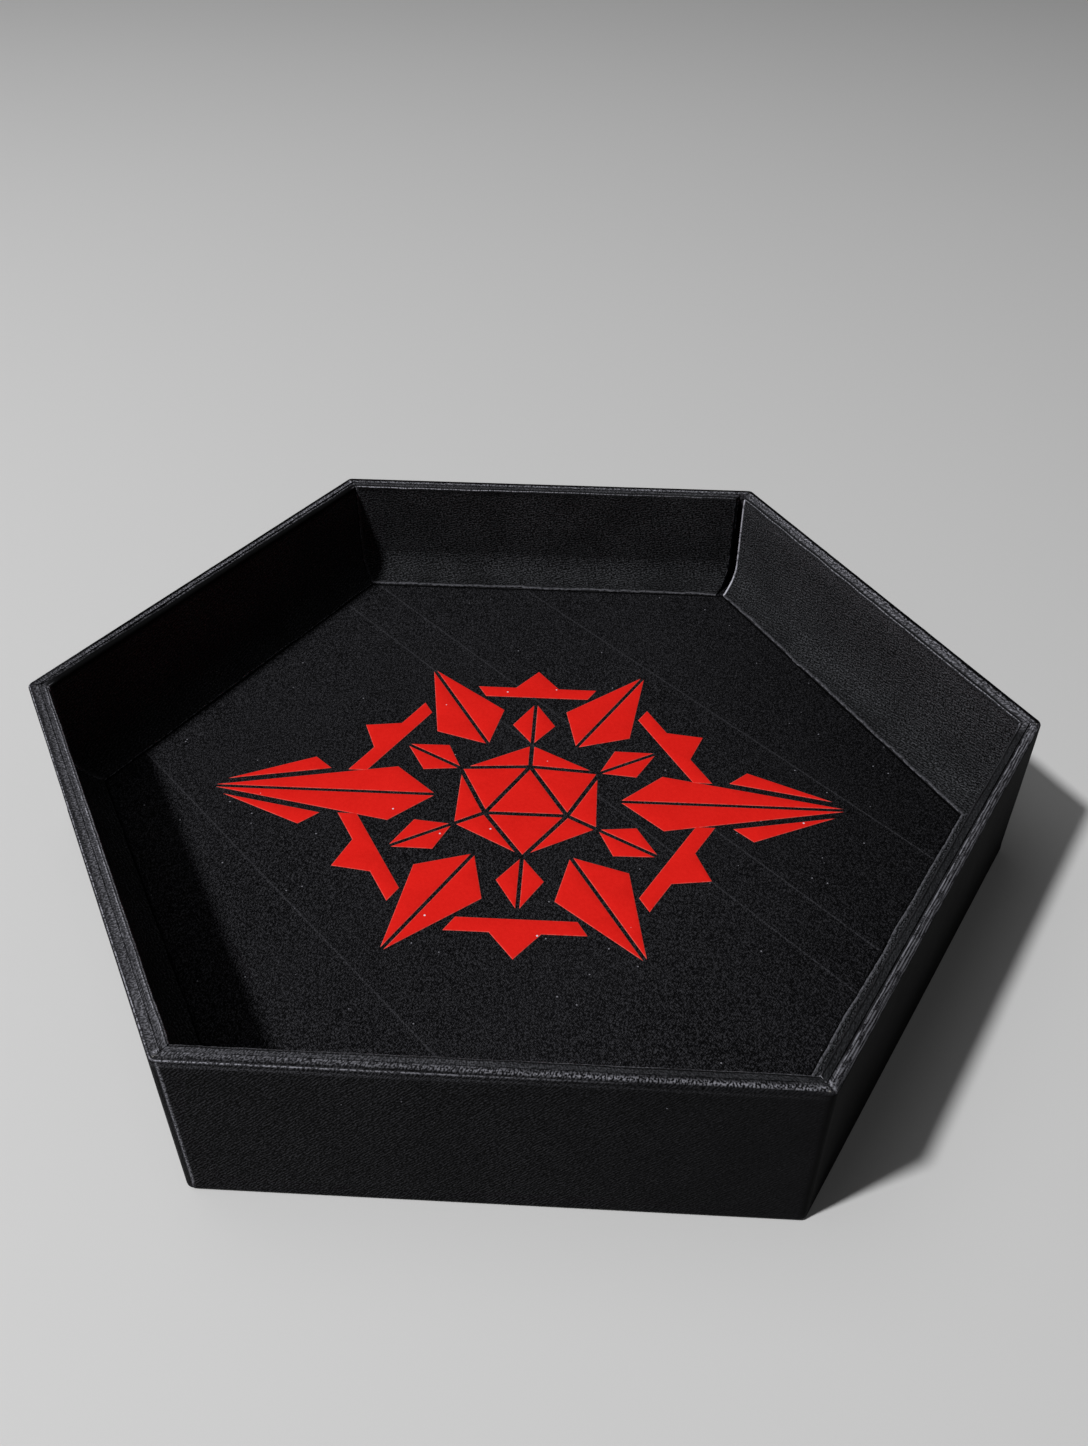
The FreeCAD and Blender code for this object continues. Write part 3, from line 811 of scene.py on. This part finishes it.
class Look:
    """A procedural material: a Principled shader and the nodes that feed it."""

    def __init__(self, name, **constants):
        self.material = bpy.data.materials.new(name)
        self.material.use_nodes = True
        self.tree = self.material.node_tree
        self.show(**constants)

    def feed(self, sockets, inputs):
        """Links or sets sockets, given by their names or numbers."""
        for name, value in inputs.items():
            socket = sockets[name.replace("_", " ") if isinstance(name, str) else name]
            if isinstance(value, bpy.types.NodeSocket):
                self.tree.links.new(value, socket)
            else:
                socket.default_value = value

    def show(self, **inputs):
        self.feed(self.tree.nodes["Principled BSDF"].inputs, inputs)
        return self.material

    def add(self, kind, settings=None, numbered=None, **inputs):
        """A new node, with its settings and what goes into its sockets."""
        node = self.tree.nodes.new("ShaderNode" + kind)
        for field, value in (settings or {}).items():
            setattr(node, field, value)
        self.feed(node.inputs, numbered or inputs)
        return node

    def mix(self, share, low, high):
        """A value or colour between low and high."""
        return self.add("Mix", {"data_type": "RGBA"}, {0: share, 6: low, 7: high}).outputs[2]

    def work_out(self, operation, *values):
        return self.add("Math", {"operation": operation}, dict(enumerate(values))).outputs["Value"]

    def sum(self, first, second):
        return self.work_out("ADD", first, second)

    def times(self, first, second):
        return self.work_out("MULTIPLY", first, second)

    def band(self, value, low, high, start=0.0, end=1.0):
        """Maps a value from low to high onto start to end, and holds it there outside them."""
        return self.add("MapRange", {"interpolation_type": "SMOOTHSTEP"}, Value=value, From_Min=low,
                        From_Max=high, To_Min=start, To_Max=end).outputs["Result"]

    def ripples(self, vector, pitch, wander, reach):
        """Fine parallel lines along X at a given pitch, that drift sideways over a given reach."""
        across = self.add("SeparateXYZ", Vector=vector).outputs["Y"]
        drift = self.times(self.noise(vector, reach, 1), wander)
        wave = self.work_out("SINE", self.sum(self.times(across, TAU / pitch), drift))
        return self.band(wave, -1, 1)

    def mark(self, name):
        return self.add("Attribute", {"attribute_name": name}).outputs["Fac"]

    def cloth(self):
        """Millimetres along and across a skin that was laid as one sheet."""
        return self.add("Attribute", {"attribute_name": "cloth"}).outputs["Vector"]

    def place(self):
        """Millimetres in the tray's own frame."""
        own = self.add("TexCoord").outputs["Object"]
        return self.add("VectorMath", {"operation": "SCALE"}, Vector=own, Scale=1 / MM).outputs["Vector"]

    def turned(self, vector, degrees, size):
        """A coordinate turned about Z and divided by the size that one cell of a texture has."""
        rotated = self.add("VectorRotate", Vector=vector, Angle=math.radians(degrees)).outputs["Vector"]
        return self.add("VectorMath", {"operation": "DIVIDE"}, {0: rotated, 1: size}).outputs["Vector"]

    def noise(self, vector, size=1.0, detail=2.0, roughness=0.5):
        return self.add("TexNoise", Vector=vector, Scale=1 / size, Detail=detail,
                        Roughness=roughness).outputs["Fac"]

    def cells(self, vector, size):
        """Scattered cells: the distance to their middles and their colours."""
        return self.add("TexVoronoi", Vector=vector, Scale=1 / size).outputs

    def bump(self, height, depth, below=None):
        """Relief of the given depth in millimetres."""
        more = {} if below is None else {"Normal": below}
        return self.add("Bump", Height=height, Distance=depth * MM, **more).outputs["Normal"]


def linear(level):
    """The linear value of an sRGB level from 0 to 255."""
    share = level / 255
    return share / 12.92 if share <= 0.04045 else ((share + 0.055) / 1.055) ** 2.4


def colour(red, green, blue):
    """The linear colour of three sRGB levels."""
    return (linear(red), linear(green), linear(blue), 1)


def grey(level, tint=(0.98, 0.98, 1.1)):
    return (*(linear(level) * share for share in tint), 1)


EVEN = (1, 1, 1)
LINER_TINT = (0.97, 1.0, 1.1)
GREYBOARD_TINT = (1, 0.97, 0.92)
BEVEL_TONE = grey(84)
WORN_AND_HIGHLIGHT_TONE = grey(170)
CUT_AND_HIGHLIGHT_TONE = grey(190)
BETWEEN_CROWNS_TONE = grey(8)
SMOOTH_RIM_TONE = grey(78)
DENT_CROWN_TONE = grey(200)
DUST_TONE = grey(120)


def specks(look, vector, size, radius, share):
    """Round specks: one in a few cells of the given size holds one."""
    cells = look.cells(vector, size)
    near = look.band(cells["Distance"], radius * 0.5, radius, 1, 0)
    red = look.add("SeparateColor", Color=cells["Color"]).outputs["Red"]
    chosen = look.work_out("LESS_THAN", red, share)
    return look.times(near, chosen)


def leatherette(name, dark, light, rim_light, grain_angle, pitch, wander, reach, stroke_share, pebble,
                pebble_share):
    """Coated cloth: fine slanting strokes over small pebbles, worn pale along its folds.

    Over the rim it is puckered across, or drawn out along it, and the puckers' crowns are rubbed pale.
    The pale wear on its folds and crowns is partly painted highlight, and its shade mark is painted shade.
    """
    look = Look(name, Specular_IOR_Level=0.2, IOR=1.2)
    cloth = look.cloth()
    strokes = look.ripples(look.turned(cloth, grain_angle, EVEN), pitch, wander, reach)
    pebbles = look.noise(look.turned(cloth, grain_angle, (*pebble, 1)), 1, 1)
    patches = look.noise(cloth, 16, 2)
    dashes = look.noise(look.turned(cloth, grain_angle, (2.2, 0.6, 1)), 1, 1)
    pressed = look.band(dashes, 0.38, 0.62, 0.1 * stroke_share, stroke_share)
    lines = look.times(look.sum(strokes, -0.5), pressed)
    grains = look.times(look.sum(pebbles, -0.5), pebble_share)
    weave = look.sum(look.times(look.sum(lines, grains), look.mark("grain")), 0.5)
    crisp = look.band(weave, 0.4, 0.76)
    tone = look.mix(crisp, dark, light)

    fuzz = look.times(look.mark("bevel"), look.band(pebbles, 0.42, 0.62, 0.1, 1))
    bevelled = look.mix(fuzz, tone, BEVEL_TONE)
    across = look.noise(look.turned(cloth, 14, (0.34, 0.6, 1)), 1, 0)
    drawn_out = look.noise(look.turned(cloth, 1.5, (3.0, 0.3, 1)), 1, 0)
    lengthways = look.band(drawn_out, 0.35, 0.65, 0.42, 0.8)
    ribs = look.mix(look.mark("drawn"), across, lengthways)
    crumbs = look.noise(cloth, 0.36, 0)
    small_crowns = look.sum(look.times(ribs, 0.65), look.times(crumbs, 0.35))
    dents = look.noise(look.turned(cloth, 20, (0.85, 0.6, 1)), 1, 1)
    crowns = look.mix(look.mark("dents"), small_crowns, dents)
    between_crowns = look.mix(look.mark("smooth"), BETWEEN_CROWNS_TONE, SMOOTH_RIM_TONE)
    on_crowns = look.mix(look.mark("dents"), rim_light, DENT_CROWN_TONE)
    # The rim's crowns are pale from rubbing and from painted highlights
    rim_tone = look.mix(look.band(crowns, 0.4, 0.68), between_crowns, on_crowns)
    rim = look.mark("rim")
    with_rim = look.mix(rim, bevelled, rim_tone)
    # Random darker patches, and the painted shade of the shade mark
    shade = look.sum(look.band(patches, 0.35, 0.7, 0, 0.2), look.mark("shade"))
    shaded = look.mix(shade, with_rim, dark)

    rubbed = look.band(look.noise(cloth, 0.5, 1, 0.6), 0.42, 0.58, 0.12, 1)
    # Wear, partly a painted highlight, turns the skin pale
    faded = look.mix(look.times(look.mark("wear_and_highlight"), rubbed), shaded, WORN_AND_HIGHLIGHT_TONE)
    broken = look.band(look.noise(cloth, 1.3, 2), 0.36, 0.52, 0.3, 1)
    # The pale cut edge, partly a painted highlight
    dusted = look.mix(specks(look, cloth, 6, 0.03, 0.3), faded, DUST_TONE)
    opened = look.mix(look.times(look.mark("cut"), broken), dusted, CUT_AND_HIGHLIGHT_TONE)
    shine = look.band(crisp, 0, 1, 0.82, 0.66)
    normal = look.bump(weave, 0.08)
    normal = look.bump(look.times(crowns, rim), 0.2, normal)
    return look.show(Base_Color=opened, Roughness=shine, Normal=normal)


def cut_backing(name):
    """The cut edge of the leatherette, where its grey backing shows in dashes."""
    look = Look(name, Specular_IOR_Level=0.2, Roughness=0.85)
    cloth = look.cloth()
    dashes = look.noise(cloth, 1.6, 3, 0.6)
    tone = look.mix(look.band(dashes, 0.42, 0.58), grey(50), grey(165))
    return look.show(Base_Color=tone, Normal=look.bump(look.noise(cloth, 0.4, 2), 0.08))


def felt_look():
    """Black felt: short fibres lying every way, bright specks, faint pressed creases, painted shade towards
    the right and a painted shadow under the panels' feet.
    """
    look = Look("felt_black", Specular_IOR_Level=0.2, IOR=1.1, Roughness=1.0)
    place = look.place()
    one_way = look.noise(look.turned(place, -58, (0.78, 0.21, 1)), 1, 0)
    other_way = look.noise(look.turned(place, 60, (0.78, 0.2, 1)), 1, 0)
    tangle = look.sum(look.times(one_way, 0.5), look.times(other_way, 0.5))
    fuzz = look.noise(place, 0.27, 0)
    soft = look.noise(place, 22, 3)
    body = look.mix(look.band(soft, 0.3, 0.7), grey(7), grey(12))
    fibres = look.sum(look.times(tangle, 0.65), look.times(fuzz, 0.35))
    fibred = look.mix(look.band(fibres, 0.44, 0.68), body, grey(56))
    # Painted shade, growing towards the right of the felt
    to_right = look.band(look.add("SeparateXYZ", Vector=place).outputs["X"], 20, 110, 0, 0.45)
    painted_shade_to_right = look.mix(to_right, fibred, grey(5))
    broken = look.band(fuzz, 0.4, 0.6, 0.1, 0.8)
    creased = look.mix(look.times(look.mark("crease"), broken), painted_shade_to_right, grey(66))
    dusted = look.mix(specks(look, place, 3.6, 0.07, 0.3), creased, grey(130))
    # Painted shadow along the panels' feet
    pressed = look.mix(look.mark("pressed"), dusted, grey(2))
    return look.show(Base_Color=pressed, Normal=look.bump(fibres, 0.1))


def film_look():
    """Matt red print film that follows the felt's nap, mottled, with a painted highlight along its thin edge
    and pale flecks.
    """
    look = Look("print_red", Specular_IOR_Level=0.2, IOR=1.2)
    place = look.place()
    mottle = look.noise(place, 0.9, 2, 0.6)
    broad = look.noise(place, 14, 2)
    uneven = look.sum(look.times(mottle, 0.7), look.times(broad, 0.3))
    body = look.mix(uneven, colour(206, 22, 17), colour(230, 36, 29))
    broken = look.band(mottle, 0.35, 0.6, 0.2, 0.7)
    # Painted highlight along the film's edge
    edged = look.mix(look.times(look.mark("edge"), broken), body, colour(240, 120, 110))
    flecked = look.mix(specks(look, place, 4.5, 0.07, 0.25), edged, grey(225))
    rough = look.band(mottle, 0.3, 0.7, 0.66, 0.8)
    return look.show(Base_Color=flecked, Roughness=rough, Normal=look.bump(mottle, 0.06))


def board_look(name, dark, light):
    """Pressed board with fibres pressed flat and darker flecks."""
    look = Look(name, Specular_IOR_Level=0.2, Roughness=0.9)
    place = look.place()
    pulp = look.noise(place, 1.8, 4, 0.65)
    fibre = look.noise(look.turned(place, 15, (3.5, 0.4, 0.4)), 1, 2)
    pressed = look.sum(look.times(pulp, 0.6), look.times(fibre, 0.4))
    tone = look.mix(look.band(pressed, 0.35, 0.65), dark, light)
    flecked = look.mix(specks(look, place, 2.6, 0.12, 0.4), tone, dark)
    return look.show(Base_Color=flecked, Normal=look.bump(fibre, 0.06))


def foam_look():
    """Grey foam with small round pores."""
    look = Look("foam_grey", Specular_IOR_Level=0.15, Roughness=0.95)
    place = look.place()
    pores = look.cells(place, 0.9)["Distance"]
    tone = look.mix(look.band(pores, 0.15, 0.55), grey(58), grey(104))
    return look.show(Base_Color=tone, Normal=look.bump(pores, 0.3))


def sheet_look():
    """The smooth lining paper under the base, with a faint laid grain and rubbed patches."""
    look = Look("base_paper", Specular_IOR_Level=0.3)
    place = look.place()
    grain = look.noise(look.turned(place, 4, (2.2, 0.5, 1)), 1, 3)
    rubbed = look.noise(place, 26, 4, 0.6)
    tone = look.mix(look.band(grain, 0.35, 0.65), grey(28), grey(36))
    worn = look.mix(look.band(rubbed, 0.52, 0.75, 0, 0.35), tone, grey(52))
    dusted = look.mix(specks(look, place, 6, 0.04, 0.4), worn, grey(110))
    rough = look.band(rubbed, 0.3, 0.7, 0.7, 0.55)
    return look.show(Base_Color=dusted, Roughness=rough, Normal=look.bump(grain, 0.05))


def dress(nodes, material):
    """Gives carried-over pieces their material."""
    for name in nodes:
        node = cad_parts[name]
        if not node.material_slots:
            node.data.materials.append(material)
        for slot in node.material_slots:
            slot.material = material


# Camera and light

# The photo's longer side and focal length are in pixels.
CORNER_RADIUS = OUTER / COS30
PHOTO_LONG_SIDE = 1446
PHOTO_FOCAL = 1280.2
SENSOR = 36.0
AIM = Vector((0.0159, 0.3579, 0)) * CORNER_RADIUS * MM
CAMERA_DISTANCE = 3.013 * CORNER_RADIUS * MM
CAMERA_AZIMUTH = math.radians(2.83)
CAMERA_ELEVATION = math.radians(39.86)
CAMERA_ROLL = math.radians(0.37)
STAGE_HALF_WIDTH = 6.0


def stand_at(thing, aim, azimuth, elevation, distance):
    """Stands a camera or lamp at a distance from a point and turns it there.

    The azimuth is counted from the front to the right.
    """
    back = Vector((math.sin(azimuth) * math.cos(elevation), -math.cos(azimuth) * math.cos(elevation),
                   math.sin(elevation)))
    turn = back.to_track_quat("Z", "Y").to_matrix().to_4x4()
    thing.matrix_world = Matrix.Translation(aim + back * distance) @ turn


def add_camera():
    data = bpy.data.cameras.new("camera")
    data.sensor_width = SENSOR
    data.lens = PHOTO_FOCAL * SENSOR / PHOTO_LONG_SIDE
    camera = put_in_scene("camera", data)
    stand_at(camera, AIM, CAMERA_AZIMUTH, CAMERA_ELEVATION, CAMERA_DISTANCE)
    camera.matrix_world = camera.matrix_world @ Matrix.Rotation(CAMERA_ROLL, 4, "Z")
    bpy.context.scene.camera = camera


def add_lamp(name, azimuth, elevation, distance, size, power):
    """A round soft lamp, in degrees, metres and watts, that points at the tray."""
    data = bpy.data.lights.new(name, "AREA")
    data.shape = "DISK"
    data.size = size
    data.energy = power
    stand_at(put_in_scene(name, data), Vector(), math.radians(azimuth), math.radians(elevation), distance)


def add_stage():
    mesh = bpy.data.meshes.new("floor")
    half = STAGE_HALF_WIDTH
    mesh.from_pydata([(-half, -half, 0), (half, -half, 0), (half, half, 0), (-half, half, 0)], [],
                     [(0, 1, 2, 3)])
    look = Look("floor_pale", Specular_IOR_Level=0.2, Roughness=0.8)
    faint = look.noise(look.place(), 900, 2)
    mesh.materials.append(look.show(Base_Color=look.mix(faint, grey(202, EVEN), grey(208, EVEN))))
    put_in_scene("floor", mesh)


def add_world():
    world = bpy.data.worlds.new("studio")
    world.use_nodes = True
    background = world.node_tree.nodes["Background"]
    background.inputs["Color"].default_value = (1, 1, 1, 1)
    background.inputs["Strength"].default_value = 0.08
    bpy.context.scene.world = world


# The tray

outer_leather = leatherette(
    "leatherette_outer", dark=grey(4), light=grey(54), rim_light=grey(140), grain_angle=-45, pitch=0.66,
    wander=8, reach=1.4, stroke_share=0.3, pebble=(0.6, 0.26), pebble_share=0.8)
liner_leather = leatherette(
    "leatherette_liner", dark=grey(8, LINER_TINT), light=grey(94, LINER_TINT), rim_light=grey(120),
    grain_angle=12, pitch=0.85, wander=16, reach=3.2, stroke_share=0.16, pebble=(0.6, 0.3),
    pebble_share=0.9)
cut_edge = cut_backing("leatherette_cut_edge")
outer_wrap([outer_leather, cut_edge])
for side in SIDES:
    liner_cover(side, [liner_leather, cut_edge])
felt_floor(felt_look())
printed_film(film_look())
foam_sheet(foam_look())
base_sheet(sheet_look())

greyboard = board_look("greyboard", grey(110, GREYBOARD_TINT), grey(150, GREYBOARD_TINT))
black_card = board_look("black_card", grey(22), grey(38))
kraft = board_look("stay_paper", grey(120, (1, 0.8, 0.58)), grey(165, (1, 0.82, 0.6)))
dress(["base_board", "floor_board", *("wall_board_" + side for side in SIDES)], greyboard)
dress(["liner_board_" + side for side in SIDES], black_card)
dress(["corner_stay_" + str(number) for number in range(1, 7)], kraft)

add_stage()
add_world()
add_lamp("key", -56.3, 55.3, 2.2, 0.18, 44)
add_lamp("overhead", -110, 70, 1.9, 1.4, 4)
add_camera()
bpy.context.scene.view_settings.view_transform = "Standard"
